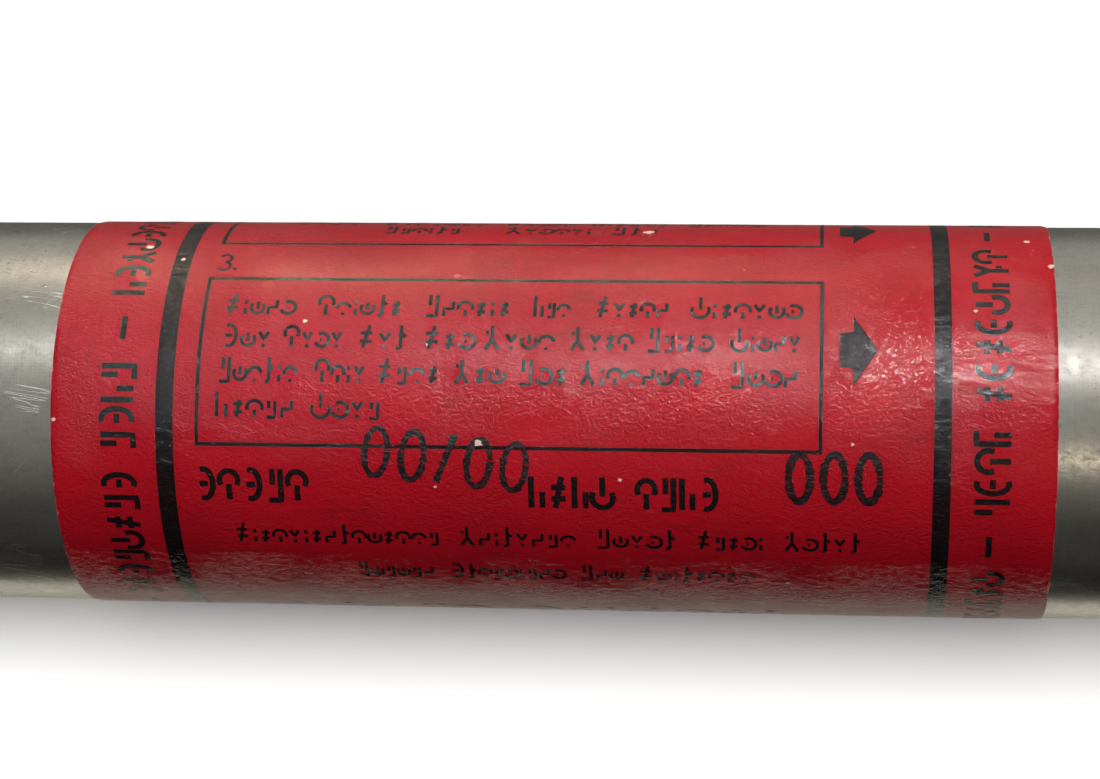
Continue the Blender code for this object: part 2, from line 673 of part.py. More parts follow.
clear_scene()
make_launch_tube()
make_label()
make_lacquer_seal()
make_closure()
make_nose_disc()
make_parachute()
make_suspension_eye()
make_candle()
make_rocket_body()
make_motor()
make_tail()
make_housing()
make_trigger_plate()
make_primer()
make_striker()
make_draw_rod()
make_cord_and_ring()
make_cap()
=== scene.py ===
"""The looks of the hand-held signal flare: label, print, metals, cloth, floor, lights and camera.

A Blender 4.5 script, in metres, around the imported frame. Sizes below are in millimetres, and the
functions that make meshes turn them into metres. X is along the flare's axis. An arc is the distance
round the label from the line that faces the camera, upwards positive.
"""

import json
import math
import random

import bmesh
import bpy
from mathutils import Matrix, Vector, noise


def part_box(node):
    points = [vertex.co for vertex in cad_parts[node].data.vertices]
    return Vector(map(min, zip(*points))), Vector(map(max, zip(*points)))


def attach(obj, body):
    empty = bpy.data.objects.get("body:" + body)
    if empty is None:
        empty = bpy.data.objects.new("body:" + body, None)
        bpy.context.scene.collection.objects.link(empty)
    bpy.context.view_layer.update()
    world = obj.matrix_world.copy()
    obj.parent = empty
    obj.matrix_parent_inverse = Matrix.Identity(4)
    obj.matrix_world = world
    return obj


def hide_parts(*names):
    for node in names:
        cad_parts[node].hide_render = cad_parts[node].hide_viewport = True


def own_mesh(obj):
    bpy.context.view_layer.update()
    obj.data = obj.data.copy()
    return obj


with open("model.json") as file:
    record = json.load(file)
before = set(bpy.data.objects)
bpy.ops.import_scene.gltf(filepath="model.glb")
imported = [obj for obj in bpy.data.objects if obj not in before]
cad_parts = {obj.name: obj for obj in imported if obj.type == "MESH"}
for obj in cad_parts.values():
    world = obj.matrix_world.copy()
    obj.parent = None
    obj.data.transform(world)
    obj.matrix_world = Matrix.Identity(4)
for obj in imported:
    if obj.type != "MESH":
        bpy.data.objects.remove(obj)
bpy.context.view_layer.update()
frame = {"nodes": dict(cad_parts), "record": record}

MM = 0.001

# The camera, round the label's centre
ELEVATION = math.radians(50)
CAMERA_X = 29.6
CAMERA_DISTANCE = 300.3
CAMERA_YAW = math.radians(5.961)
CAMERA_PITCH = math.radians(0.591)
CAMERA_ROLL = math.radians(-0.730)
LENS = 84.96

FINE_SIDES = 160
EDGE_ROUND = 0.12  # rounding of turned pieces' corners

LABEL_LOW, LABEL_HIGH = (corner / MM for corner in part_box("label"))
LABEL_RADIUS = 22.4
LABEL_HALF = (LABEL_HIGH.x - LABEL_LOW.x) / 2
LABEL_CENTRE = (LABEL_HIGH.x + LABEL_LOW.x) / 2
AXIS_HEIGHT = (LABEL_HIGH.z + LABEL_LOW.z) / 2
LABEL_BORE = 22.215
LABEL_SEAM = math.radians(170)  # where the wrapped label's ends overlap, at the back
TEXT_HEIGHT, TEXT_WEIGHT = 2.75, 0.42
SMALL_HEIGHT, SMALL_WEIGHT = 2.6, TEXT_WEIGHT * 0.9
HEADING_HEIGHT, HEADING_WEIGHT = 3.7, 0.66
TITLE_HEIGHT, TITLE_WEIGHT = 6.0, 0.9
NUMERAL_WEIGHT = 0.34
FRAME_WIDTH = 0.42
INK_HEIGHT = 0.012  # how far the print stands on the label
INK_STEP = 0.5  # longest stretch of a stroke before it is split to follow the curve

# The parachute, packed
PACK_LOW, PACK_HIGH = (corner.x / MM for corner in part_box("parachute_pack"))
PACK_RADIUS = 19.3
PLEATS = 22
PLEAT_DEPTH = 1.3
LINE_RADIUS = 0.45
LINE_GATHER = 1.3  # how close to the axis the lines come at their knot
LINE_STEPS = 12

# The striker spring
SPRING_RADIUS = 7.0
SPRING_WIRE = 0.55
SPRING_TURNS = 5
SPRING_STEPS = 40  # points in a turn

# Shading and light
ON_AXIS = 0.02  # a smaller radius than this counts as the axis
VARNISH_ROUGH = 0.04
VARNISH_GLOSS = 0.20
SKY_RANGE = (-0.6, 1.0, 0.14, 0.56)  # darkest and brightest directions, and their strengths


# -------- placing


def from_axis(x, angle, radius):
    """A point round the axis, in metres. Angle 0 faces the camera, and it grows upwards."""
    turn = ELEVATION + angle
    y, z = -radius * math.cos(turn), radius * math.sin(turn)
    return Vector((x, y, AXIS_HEIGHT + z)) * MM


def on_label(x, arc, lift=0.0):
    """A point of the label's face, x and arc from its centre."""
    return from_axis(LABEL_CENTRE + x, arc / LABEL_RADIUS, LABEL_RADIUS + lift)


def finish_mesh(bm, name, node, surface=None, smooth_angle=35, extra=False):
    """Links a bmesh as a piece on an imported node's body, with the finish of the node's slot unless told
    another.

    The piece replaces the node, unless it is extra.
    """
    bmesh.ops.recalc_face_normals(bm, faces=bm.faces)
    mesh = bpy.data.meshes.new(name)
    bm.to_mesh(mesh)
    bm.free()
    mesh.materials.append(surface or FINISHES[NODE_SLOT[node]])
    mesh.shade_smooth()
    mesh.set_sharp_from_angle(angle=math.radians(smooth_angle))
    piece = bpy.data.objects.new(name, mesh)
    bpy.context.scene.collection.objects.link(piece)
    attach(piece, NODE_BODY[node])
    if not extra:
        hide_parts(node)
    return piece


def join_rings(bm, a, b):
    """Faces between two rings of as many points."""
    for k in range(len(a)):
        n = (k + 1) % len(a)
        bm.faces.new((a[k], a[n], b[n], b[k]))


# -------- shader building


class Shader:
    """A material's nodes, with short names for the few kinds that this script uses."""

    def __init__(self, name):
        self.material = bpy.data.materials.new(name)
        self.material.use_nodes = True
        self.nodes = self.material.node_tree.nodes
        self.links = self.material.node_tree.links
        self.base = self.nodes["Principled BSDF"]
        self.place = self.nodes.new("ShaderNodeTexCoord").outputs["Object"]

    def set(self, **values):
        """Sets or links the Principled shader's sockets, such as base_color, and gives the material."""
        for name, value in values.items():
            self.feed(self.base.inputs[name.replace("_", " ").title().replace("Ior", "IOR")], value)
        return self.material

    def feed(self, socket, value):
        if isinstance(value, bpy.types.NodeSocket):
            self.links.new(value, socket)
        elif isinstance(value, tuple) and len(value) == 3 and socket.type == "RGBA":
            socket.default_value = (*value, 1.0)
        else:
            socket.default_value = value

    def stretched(self, scale=(1, 1, 1), shift=(0, 0, 0), place=None):
        """Object coordinates in millimetres, scaled, so that patterns can be stretched."""
        mapping = self.nodes.new("ShaderNodeMapping")
        self.feed(mapping.inputs["Vector"], place or self.place)
        mapping.inputs["Scale"].default_value = [s / MM for s in scale]
        mapping.inputs["Location"].default_value = shift
        return mapping.outputs["Vector"]

    def tilted(self, place, turn):
        """Coordinates turned about their third axis, in radians."""
        mapping = self.nodes.new("ShaderNodeMapping")
        self.feed(mapping.inputs["Vector"], place)
        mapping.inputs["Rotation"].default_value = (0, 0, turn)
        return mapping.outputs["Vector"]

    def unrolled(self):
        """Coordinates along and round the axis, in metres: x plus radius, and arc at the label's radius.

        The radius makes patterns that cross the axis into rings on the flat ends.
        """
        apart = self.nodes.new("ShaderNodeSeparateXYZ")
        self.feed(apart.inputs[0], self.place)
        up = self.math("SUBTRACT", apart.outputs["Z"], AXIS_HEIGHT * MM)
        angle = self.math("ARCTAN2", apart.outputs["Y"], up)
        squares = self.math("ADD", self.math("POWER", apart.outputs["Y"], 2.0), self.math("POWER", up, 2.0))
        joined = self.nodes.new("ShaderNodeCombineXYZ")
        self.feed(joined.inputs["X"], self.math("ADD", apart.outputs["X"], self.math("SQRT", squares)))
        self.feed(joined.inputs["Y"], self.times(angle, LABEL_RADIUS * MM))
        return joined.outputs[0]

    def on_sides(self):
        """1 on faces that run along the axis, and 0 on the flat ends."""
        facing = self.nodes.new("ShaderNodeSeparateXYZ")
        self.feed(facing.inputs[0], self.place.node.outputs["Normal"])
        return self.between(self.math("ABSOLUTE", facing.outputs["X"]), 0.5, 0.9, 1.0, 0.0)

    def along(self):
        """The x coordinate, in metres."""
        apart = self.nodes.new("ShaderNodeSeparateXYZ")
        self.feed(apart.inputs[0], self.place)
        return apart.outputs["X"]

    def noise(self, where, scale=1.0, detail=3.0, roughness=0.5, distortion=0.0):
        made = self.nodes.new("ShaderNodeTexNoise")
        self.feed(made.inputs["Vector"], where)
        made.inputs["Scale"].default_value = scale
        made.inputs["Detail"].default_value = detail
        made.inputs["Roughness"].default_value = roughness
        made.inputs["Distortion"].default_value = distortion
        return made.outputs["Fac"]

    def cells(self, where, scale=1.0, feature="F1"):
        made = self.nodes.new("ShaderNodeTexVoronoi")
        made.feature = feature
        self.feed(made.inputs["Vector"], where)
        made.inputs["Scale"].default_value = scale
        made.inputs["Randomness"].default_value = 1.0
        return made.outputs["Distance"]

    def waves(self, where, scale=1.0, distortion=0.0, direction="X"):
        made = self.nodes.new("ShaderNodeTexWave")
        made.bands_direction = direction
        self.feed(made.inputs["Vector"], where)
        made.inputs["Scale"].default_value = scale
        made.inputs["Distortion"].default_value = distortion
        return made.outputs["Fac"]

    def math(self, operation, a, b=None):
        made = self.nodes.new("ShaderNodeMath")
        made.operation = operation
        self.feed(made.inputs[0], a)
        if b is not None:
            self.feed(made.inputs[1], b)
        return made.outputs[0]

    def times(self, a, b):
        return self.math("MULTIPLY", a, b)

    def between(self, value, low, high, start=0.0, end=1.0):
        """Start below low, end above high, and a straight ramp between."""
        made = self.nodes.new("ShaderNodeMapRange")
        made.clamp = True
        self.feed(made.inputs["Value"], value)
        for name, number in zip(("From Min", "From Max", "To Min", "To Max"), (low, high, start, end)):
            made.inputs[name].default_value = number
        return made.outputs["Result"]

    def mix(self, share, a, b):
        """Colour a where share is 0, and b where it is 1."""
        made = self.nodes.new("ShaderNodeMix")
        made.data_type = "RGBA"
        self.feed(made.inputs["Factor"], share)
        colours = [s for s in made.inputs if s.type == "RGBA"]
        self.feed(colours[0], a)
        self.feed(colours[1], b)
        return next(s for s in made.outputs if s.type == "RGBA")

    def bump(self, height, distance, under=None):
        """A normal from a height of 0 to 1 that stands for distance millimetres."""
        made = self.nodes.new("ShaderNodeBump")
        made.inputs["Distance"].default_value = distance * MM
        made.inputs["Strength"].default_value = 1.0
        self.feed(made.inputs["Height"], height)
        if under is not None:
            self.feed(made.inputs["Normal"], under)
        return made.outputs["Normal"]


# -------- label materials


def varnish_relief(s):
    """The crinkled varnish that the red face and the print share."""
    where = s.stretched()
    patchy = s.between(s.noise(where, 0.10, 2.0), 0.35, 0.65, 0.45, 1.0)
    crinkle = s.noise(s.stretched((0.9, 1.3, 1.3)), 1.0, 4.0, 0.62, 1.6)
    fine = s.noise(where, 3.6, 3.0, 0.6, 0.6)
    blisters = s.between(s.cells(where, 1.5), 0.0, 0.30, 1.0, 0.0)
    crop = s.between(s.noise(where, 0.16, 2.0), 0.52, 0.62)
    relief = s.bump(s.times(crinkle, patchy), 0.22)
    relief = s.bump(fine, 0.022, under=relief)
    return s.bump(s.times(blisters, crop), 0.06, under=relief)


def varnished_finish(s, colour, rough=None):
    """A colour under the varnish, whose roughness varies a little unless it is given."""
    if rough is None:
        patchy = s.noise(s.stretched(), 0.5, 3.0)
        rough = s.between(patchy, 0.3, 0.7, VARNISH_ROUGH, VARNISH_ROUGH + 0.05)
    relief = varnish_relief(s)
    return s.set(base_color=colour, roughness=rough, specular_ior_level=VARNISH_GLOSS, normal=relief)


def flecks(s, scale, size, share):
    """Small ragged spots: 1 inside a spot and 0 elsewhere. Share is how many cells hold one."""
    where = s.stretched()
    wobble = s.noise(where, 4.0, 2.0)
    spot = s.cells(where, scale)
    ragged = s.math("ADD", spot, s.times(wobble, 0.12))
    inside = s.between(ragged, size, size + 0.02, 1.0, 0.0)
    chosen = s.between(s.noise(where, scale * 0.6, 1.0), share, share + 0.01, 0.0, 1.0)
    return s.times(inside, chosen)


def red_colour(s):
    where = s.stretched()
    cloudy = s.noise(where, 0.09, 4.0, 0.6)
    red = s.mix(s.between(cloudy, 0.35, 0.7), (0.44, 0.0034, 0.0125), (0.37, 0.0028, 0.0105))
    grain = s.between(s.noise(where, 5.0, 2.0), 0.35, 0.75, 0.0, 0.35)
    red = s.mix(grain, red, (0.27, 0.0024, 0.008))
    stains = s.between(s.noise(s.stretched((0.12, 0.35, 0.35)), 1.0, 4.0, 0.65), 0.60, 0.74, 0.0, 0.55)
    return s.mix(stains, red, (0.20, 0.004, 0.008))


def label_red():
    s = Shader("varnished_red")
    pale = (0.62, 0.42, 0.34)
    chips = flecks(s, 0.30, 0.12, 0.63)
    colour = s.mix(chips, red_colour(s), pale)
    x_from_centre = s.math("ABSOLUTE", s.math("SUBTRACT", s.along(), LABEL_CENTRE * MM))
    edge_reach_noise = s.noise(s.stretched(), 0.8, 3.0, 0.7)
    reach = s.math("ADD", s.times(x_from_centre, 1 / MM), s.between(edge_reach_noise, 0.5, 0.8, 0.0, 0.25))
    # Paler towards the label's two ends, all round: partly frayed paper, and partly a painted highlight of
    # light catching the paper's edge.
    frayed_edge_and_painted_highlight = s.between(reach, LABEL_HALF - 0.04, LABEL_HALF + 0.10)
    colour = s.mix(frayed_edge_and_painted_highlight, colour, (0.50, 0.24, 0.20))
    return varnished_finish(s, colour)


def ink_black():
    s = Shader("printing_ink")
    where = s.stretched()
    pinholes = s.between(s.noise(where, 4.5, 3.0, 0.65), 0.62, 0.70)
    thin_patch = s.between(s.noise(where, 0.22, 2.0), 0.50, 0.66)
    colour = s.mix(s.times(pinholes, thin_patch), (0.007, 0.003, 0.004), (0.20, 0.004, 0.010))
    return varnished_finish(s, colour)


def stamp_ink():
    """Rubber-stamp ink, thinner than the print and patchy."""
    s = Shader("stamp_ink")
    where = s.stretched()
    patchy = s.between(s.noise(where, 2.4, 4.0, 0.7), 0.50, 0.66)
    colour = s.mix(patchy, (0.006, 0.003, 0.005), (0.08, 0.004, 0.009))
    return varnished_finish(s, colour, 0.36)


def paper_chip():
    s = Shader("bare_paper")
    where = s.stretched()
    colour = s.mix(s.noise(where, 3.0, 3.0), (0.78, 0.58, 0.48), (0.60, 0.36, 0.30))
    return s.set(base_color=colour, roughness=0.8, normal=s.bump(s.noise(where, 6.0, 3.0), 0.03))


# -------- metals and the rest


def scratch_lines(s, flat, turn, spacing, share):
    """Long thin scratches at an angle to the axis, in some patches of the surface."""
    lines = s.noise(s.stretched((0.05, 1 / spacing, 1.0), place=s.tilted(flat, turn)), 1.0, 1.0)
    thin = s.between(s.math("ABSOLUTE", s.math("SUBTRACT", lines, 0.5)), 0.0, 0.012, 1.0, 0.0)
    patches = s.noise(s.stretched((0.09, 0.13, 1.0), shift=(turn * 9, 2, 0), place=flat), 1.0, 3.0)
    return s.times(thin, s.between(patches, share, share + 0.03))


def worn_metal(name, colour, dark, roughness, streak=0.5):
    """Drawn metal: brushed along and round, mottled with handling, pitted and scratched."""
    s = Shader(name)
    flat = s.unrolled()
    lengthwise = s.noise(s.stretched((0.07, 7.0, 1.0), place=flat), 1.0, 4.0, 0.65)
    lengthwise = s.times(lengthwise, s.on_sides())
    hoops = s.noise(s.stretched((3.2, 0.14, 1.0), place=flat), 1.0, 4.0, 0.65)
    mottle = s.noise(s.stretched((0.7, 1.0, 1.0)), 1.0, 6.0, 0.72, 0.6)
    blotch = s.noise(s.stretched((0.10, 0.16, 0.16)), 1.0, 4.0, 0.6)
    tint = s.mix(s.between(blotch, 0.38, 0.66, 0.0, 0.5), colour, dark)
    tint = s.mix(s.between(mottle, 0.48, 0.72, 0.0, 0.8), tint, dark)
    tint = s.mix(s.between(lengthwise, 0.48, 0.75, 0.0, streak), tint, dark)
    tint = s.mix(s.between(hoops, 0.52, 0.78, 0.0, streak), tint, dark)
    pits = s.between(s.cells(s.stretched((1.1, 0.8, 1.0), place=flat), 1.0), 0.05, 0.09, 1.0, 0.0)
    pits = s.times(pits, s.between(mottle, 0.45, 0.50))
    tint = s.mix(s.times(pits, 0.7), tint, tuple(c * 0.3 for c in dark))
    pale = tuple(min(1.0, c * 1.7) for c in colour)
    bright = s.math("ADD", scratch_lines(s, flat, 0.16, 0.9, 0.60), scratch_lines(s, flat, -0.75, 1.3, 0.62))
    tint = s.mix(s.times(bright, 0.8), tint, pale)
    grey = scratch_lines(s, flat, 0.95, 1.6, 0.61)
    tint = s.mix(s.times(grey, 0.5), tint, tuple(c * 0.5 for c in dark))
    rough = s.between(mottle, 0.3, 0.7, roughness - 0.05, roughness + 0.12)
    normal = s.bump(lengthwise, 0.006)
    normal = s.bump(hoops, 0.012, under=normal)
    normal = s.bump(mottle, 0.012, under=normal)
    normal = s.bump(s.math("ADD", bright, grey), 0.010, under=normal)
    return s.set(base_color=tint, metallic=1.0, roughness=rough, anisotropic=0.35, normal=normal)


def cast_metal(name, colour):
    s = Shader(name)
    where = s.stretched()
    grains = s.noise(where, 2.2, 4.0, 0.7)
    tint = s.mix(s.between(grains, 0.35, 0.7), colour, tuple(c * 0.7 for c in colour))
    rough = s.between(grains, 0.3, 0.7, 0.42, 0.62)
    return s.set(base_color=tint, metallic=1.0, roughness=rough, normal=s.bump(grains, 0.03))


def cork():
    s = Shader("pressed_cork")
    where = s.stretched()
    grains = s.cells(where, 0.7)
    joints = s.between(s.cells(where, 0.7, "DISTANCE_TO_EDGE"), 0.0, 0.06, 1.0, 0.0)
    tint = s.mix(s.between(grains, 0.1, 0.7), (0.50, 0.31, 0.16), (0.33, 0.19, 0.09))
    tint = s.mix(joints, tint, (0.16, 0.08, 0.04))
    return s.set(base_color=tint, roughness=0.85, normal=s.bump(s.math("SUBTRACT", grains, joints), 0.12))


def fibrous(name, colour, dark, scale, depth, roughness=0.9):
    """Card, felt and other matted fibre."""
    s = Shader(name)
    where = s.stretched()
    fibres = s.noise(where, scale, 5.0, 0.7, 1.5)
    tint = s.mix(s.between(fibres, 0.35, 0.65), colour, dark)
    return s.set(base_color=tint, roughness=roughness, normal=s.bump(fibres, depth))


def woven(name, colour, dark, pitch, depth, roughness=0.85):
    """Plain-woven cloth, its threads running along and round the axis."""
    s = Shader(name)
    flat = s.unrolled()
    per_thread = math.pi / 10 / pitch
    warp = s.waves(s.stretched(place=flat), per_thread, 0.4, "X")
    weft = s.waves(s.stretched(place=flat), per_thread, 0.4, "Y")
    threads = s.times(warp, weft)
    soil = s.noise(s.stretched(), 0.12, 4.0, 0.6)
    tint = s.mix(s.between(threads, 0.0, 0.5, 1.0, 0.0), colour, dark)
    tint = s.mix(s.between(soil, 0.5, 0.7, 0.0, 0.4), tint, dark)
    return s.set(base_color=tint, roughness=roughness, sheen_weight=0.3, normal=s.bump(threads, depth))


def rubber():
    s = Shader("black_rubber")
    grain = s.noise(s.stretched(), 3.0, 3.0)
    bloom = s.between(s.noise(s.stretched(), 0.3, 3.0), 0.45, 0.7)
    tint = s.mix(bloom, (0.016, 0.016, 0.016), (0.05, 0.05, 0.048))
    return s.set(base_color=tint, roughness=0.6, normal=s.bump(grain, 0.02))


def lacquer():
    s = Shader("brushed_lacquer")
    strokes = s.noise(s.stretched((1.2, 0.12, 1.0), place=s.unrolled()), 1.0, 3.0, 0.6)
    tint = s.mix(s.between(strokes, 0.3, 0.7), (0.16, 0.010, 0.010), (0.07, 0.006, 0.006))
    return s.set(base_color=tint, roughness=0.28, coat_weight=0.4, normal=s.bump(strokes, 0.05))


def pressed_grain(name, colour, dark):
    s = Shader(name)
    where = s.stretched()
    grains = s.cells(where, 2.2)
    tint = s.mix(s.between(grains, 0.1, 0.6), colour, dark)
    return s.set(base_color=tint, roughness=0.85, normal=s.bump(grains, 0.08))


def braided():
    s = Shader("braided_cotton")
    where = s.stretched()
    strands = s.cells(where, 2.6)
    tint = s.mix(s.between(strands, 0.05, 0.5), (0.70, 0.64, 0.49), (0.38, 0.32, 0.21))
    return s.set(base_color=tint, roughness=0.9, sheen_weight=0.3, normal=s.bump(strands, 0.12))


FINISHES = {
    "aluminium": worn_metal("drawn_aluminium", (0.50, 0.49, 0.45), (0.33, 0.32, 0.29), 0.30),
    "cap_aluminium": worn_metal("spun_aluminium", (0.60, 0.59, 0.56), (0.42, 0.41, 0.38), 0.30, 0.3),
    "steel": worn_metal("plated_steel", (0.48, 0.48, 0.49), (0.30, 0.30, 0.31), 0.26, 0.3),
    "brass": worn_metal("turned_brass", (0.74, 0.52, 0.22), (0.46, 0.29, 0.11), 0.28, 0.3),
    "cast_alloy": cast_metal("cast_alloy", (0.42, 0.42, 0.41)),
    "cork": cork(),
    "card": fibrous("grey_card", (0.50, 0.40, 0.27), (0.34, 0.26, 0.17), 1.6, 0.06),
    "felt": fibrous("pressed_felt", (0.36, 0.34, 0.30), (0.20, 0.19, 0.17), 2.6, 0.20, 0.97),
    "cloth_tape": woven("waxed_cloth_tape", (0.56, 0.44, 0.22), (0.34, 0.25, 0.12), 0.45, 0.06),
    "parachute_cloth": woven("canopy_cloth", (0.72, 0.16, 0.05), (0.46, 0.08, 0.03), 0.35, 0.04, 0.7),
    "rubber": rubber(),
    "lacquer": lacquer(),
    "inert_grain": pressed_grain("dark_filler", (0.085, 0.08, 0.08), (0.04, 0.038, 0.038)),
    "candle_filler": pressed_grain("pale_filler", (0.52, 0.30, 0.28), (0.34, 0.18, 0.17)),
    "cord_cotton": braided(),
}
NODE_SLOT = {row["node"]: row["material_slot"] for row in frame["record"]["subparts"]}
NODE_BODY = {
    node: body for body, nodes in frame["record"]["behaviour"]["bodies"].items() for node in nodes
}


# -------- camera, floor and lights


def make_camera():
    data = bpy.data.cameras.new("camera")
    data.lens = LENS
    data.sensor_width = 36
    camera = bpy.data.objects.new("camera", data)
    bpy.context.scene.collection.objects.link(camera)
    level = (
        Matrix.Rotation(CAMERA_YAW, 3, "Z")
        @ Matrix.Rotation(CAMERA_PITCH, 3, "X")
        @ Matrix.Rotation(CAMERA_ROLL, 3, "Y")
    )
    facing = Matrix.Rotation(-ELEVATION, 3, "X") @ level
    right, forward, up = (facing.col[k] for k in range(3))
    turned = Matrix((right, up, -forward)).transposed()
    camera.matrix_world = turned.to_4x4()
    camera.location = from_axis(LABEL_CENTRE + CAMERA_X, 0, CAMERA_DISTANCE)
    bpy.context.scene.camera = camera


def stage_sheet(name, low, high, height, colour, one_sided=False):
    """A flat rectangle of the stage, not of the object. One-sided, it is clear from below."""
    bm = bmesh.new()
    corners = [(low[0], low[1]), (high[0], low[1]), (high[0], high[1]), (low[0], high[1])]
    bm.faces.new([bm.verts.new(Vector((x, y, height)) * MM) for x, y in corners])
    mesh = bpy.data.meshes.new(name)
    bm.to_mesh(mesh)
    bm.free()
    s = Shader(name)
    s.set(base_color=colour, roughness=0.9, specular_ior_level=0.1)
    if one_sided:
        clear = s.nodes.new("ShaderNodeNewGeometry").outputs["Backfacing"]
        s.set(alpha=s.math("SUBTRACT", 1.0, clear))
    mesh.materials.append(s.material)
    sheet = bpy.data.objects.new(name, mesh)
    bpy.context.scene.collection.objects.link(sheet)
    return sheet


def card(name, near, far, colour, glow=0.0):
    """A card on the floor that sets what the flare reflects there, a painted reflection, and that the camera
    doesn't see.

    Dark, it is painted shade as well: it takes the bright floor's place in the light that bounces up onto
    the flare. With a glow it is a painted reflection, bright in reflections only, and lights nothing.
    """
    height = 0.8 if glow else 0.6
    sheet = stage_sheet(name, (-900, min(near, far)), (900, max(near, far)), height, colour, True)
    if glow:
        shader = sheet.data.materials[0].node_tree.nodes["Principled BSDF"]
        shader.inputs["Emission Color"].default_value = (*colour, 1.0)
        shader.inputs["Emission Strength"].default_value = glow
        sheet.visible_diffuse = False
    sheet.visible_camera = False
    sheet.visible_shadow = False
    sheet.visible_transmission = False
    sheet.visible_volume_scatter = False


def area_light(name, x, angle, distance, size, colour, power, seen_in):
    """An area light that faces the axis. Angle is from the camera's direction, upwards.

    seen_in is gloss for a lamp that only makes highlights, and matt for one that only lights.
    """
    data = bpy.data.lights.new(name, "AREA")
    data.shape = "RECTANGLE"
    data.size, data.size_y = size[0] * MM, size[1] * MM
    data.color = colour
    data.energy = power
    lamp = bpy.data.objects.new(name, data)
    place = from_axis(LABEL_CENTRE + x, math.radians(angle), distance)
    target = from_axis(LABEL_CENTRE + x, 0, 0)
    out = (place - target).normalized()
    along_x = Vector((1, 0, 0))
    lamp.matrix_world = Matrix((along_x, out.cross(along_x), out)).transposed().to_4x4()
    lamp.location = place
    lamp.visible_camera = False
    lamp.visible_glossy = seen_in != "matt"
    lamp.visible_diffuse = seen_in != "gloss"
    bpy.context.scene.collection.objects.link(lamp)
    return lamp


def light_only(lamp, pieces, others):
    """Lets a lamp light only these pieces, or with others=True everything but these."""
    group = bpy.data.collections.new(lamp.name + "_pieces")
    for piece in pieces:
        group.objects.link(piece)
    for row in group.collection_objects:
        row.light_linking.link_state = "EXCLUDE" if others else "INCLUDE"
    lamp.light_linking.receiver_collection = group


def make_sky():
    """A grey room, brightest overhead and behind the flare, and dark low down in front of it."""
    world = bpy.data.worlds.new("studio")
    world.use_nodes = True
    nodes, links = world.node_tree.nodes, world.node_tree.links
    background = nodes["Background"]
    towards = nodes.new("ShaderNodeVectorMath")
    towards.operation = "DOT_PRODUCT"
    links.new(nodes.new("ShaderNodeTexCoord").outputs["Generated"], towards.inputs[0])
    towards.inputs[1].default_value = (0.0, 0.6, 1.0)
    ramp = nodes.new("ShaderNodeMapRange")
    ramp.interpolation_type = "SMOOTHSTEP"
    links.new(towards.outputs["Value"], ramp.inputs["Value"])
    for name, number in zip(("From Min", "From Max", "To Min", "To Max"), SKY_RANGE):
        ramp.inputs[name].default_value = number
    links.new(ramp.outputs["Result"], background.inputs["Strength"])
    background.inputs["Color"].default_value = (1.0, 0.99, 0.95, 1)
    bpy.context.scene.world = world


# Name, x, angle, distance, size, colour, power, what sees the lamp, and what it lights: the label,
# everything but the label (metal), the floor, or everything but the floor (object)
LAMPS = [
    ("window", 170, 33, 800, (330, 90), (1.0, 0.97, 0.98), 0.75, "gloss", "metal"),
    ("soft_panel", -130, 34, 800, (420, 110), (1.0, 0.98, 0.97), 0.55, "gloss", "metal"),
    ("lamp", -145, 89.5, 800, (190, 40), (1.0, 0.84, 0.62), 0.9, "gloss", "metal"),
    ("low_lamp", 130, -21, 800, (90, 30), (1.0, 0.85, 0.62), 0.26, "gloss", "metal"),
    ("varnish_window", 115, 32, 800, (250, 30), (1.0, 0.95, 0.99), 11.0, "gloss", "label"),
    ("varnish_lamp", -175, 89.5, 800, (170, 24), (1.0, 0.80, 0.60), 4.4, "gloss", "label"),
    ("varnish_low", 130, -21, 800, (80, 50), (1.0, 0.85, 0.70), 0.35, "gloss", "label"),
    ("overhead", 130, 33, 1000, (500, 500), (1.0, 1.0, 1.0), 8.0, "matt", "object"),
    ("floor_lamp", 0, 14, 1000, (1000, 1020), (1.0, 1.0, 1.0), 13.0, "matt", "floor"),
]


def make_stage(varnished):
    """The floor, the cards, the room and the lamps. varnished are the pieces of the label."""
    floor = stage_sheet("floor", (-3000, -3000), (3000, 3000), 0.0, (0.92, 0.92, 0.92))
    # Cards that the camera doesn't see: painted shade on the flare's underside, a glowing painted reflection
    # of the lit floor close to the flare, and three darker ones, painted dark reflections that are painted
    # shade as well.
    card("near_painted_shade", -2, -25, (0.12, 0.11, 0.10))
    card("near_painted_reflection", -2, -25, (1.0, 0.95, 0.82), 0.20)
    card("front_card", -25, -50, (0.022, 0.021, 0.020))
    card("far_front_card", -50, -1500, (0.055, 0.054, 0.052))
    card("back_card", 52, 1500, (0.10, 0.10, 0.09))
    make_sky()
    for *settings, lit in LAMPS:
        lamp = area_light(*settings)
        light_only(lamp, [floor] if lit in ("floor", "object") else varnished, lit in ("metal", "object"))
    bpy.context.scene.view_settings.view_transform = "Standard"


# -------- turned pieces, finer than the CAD


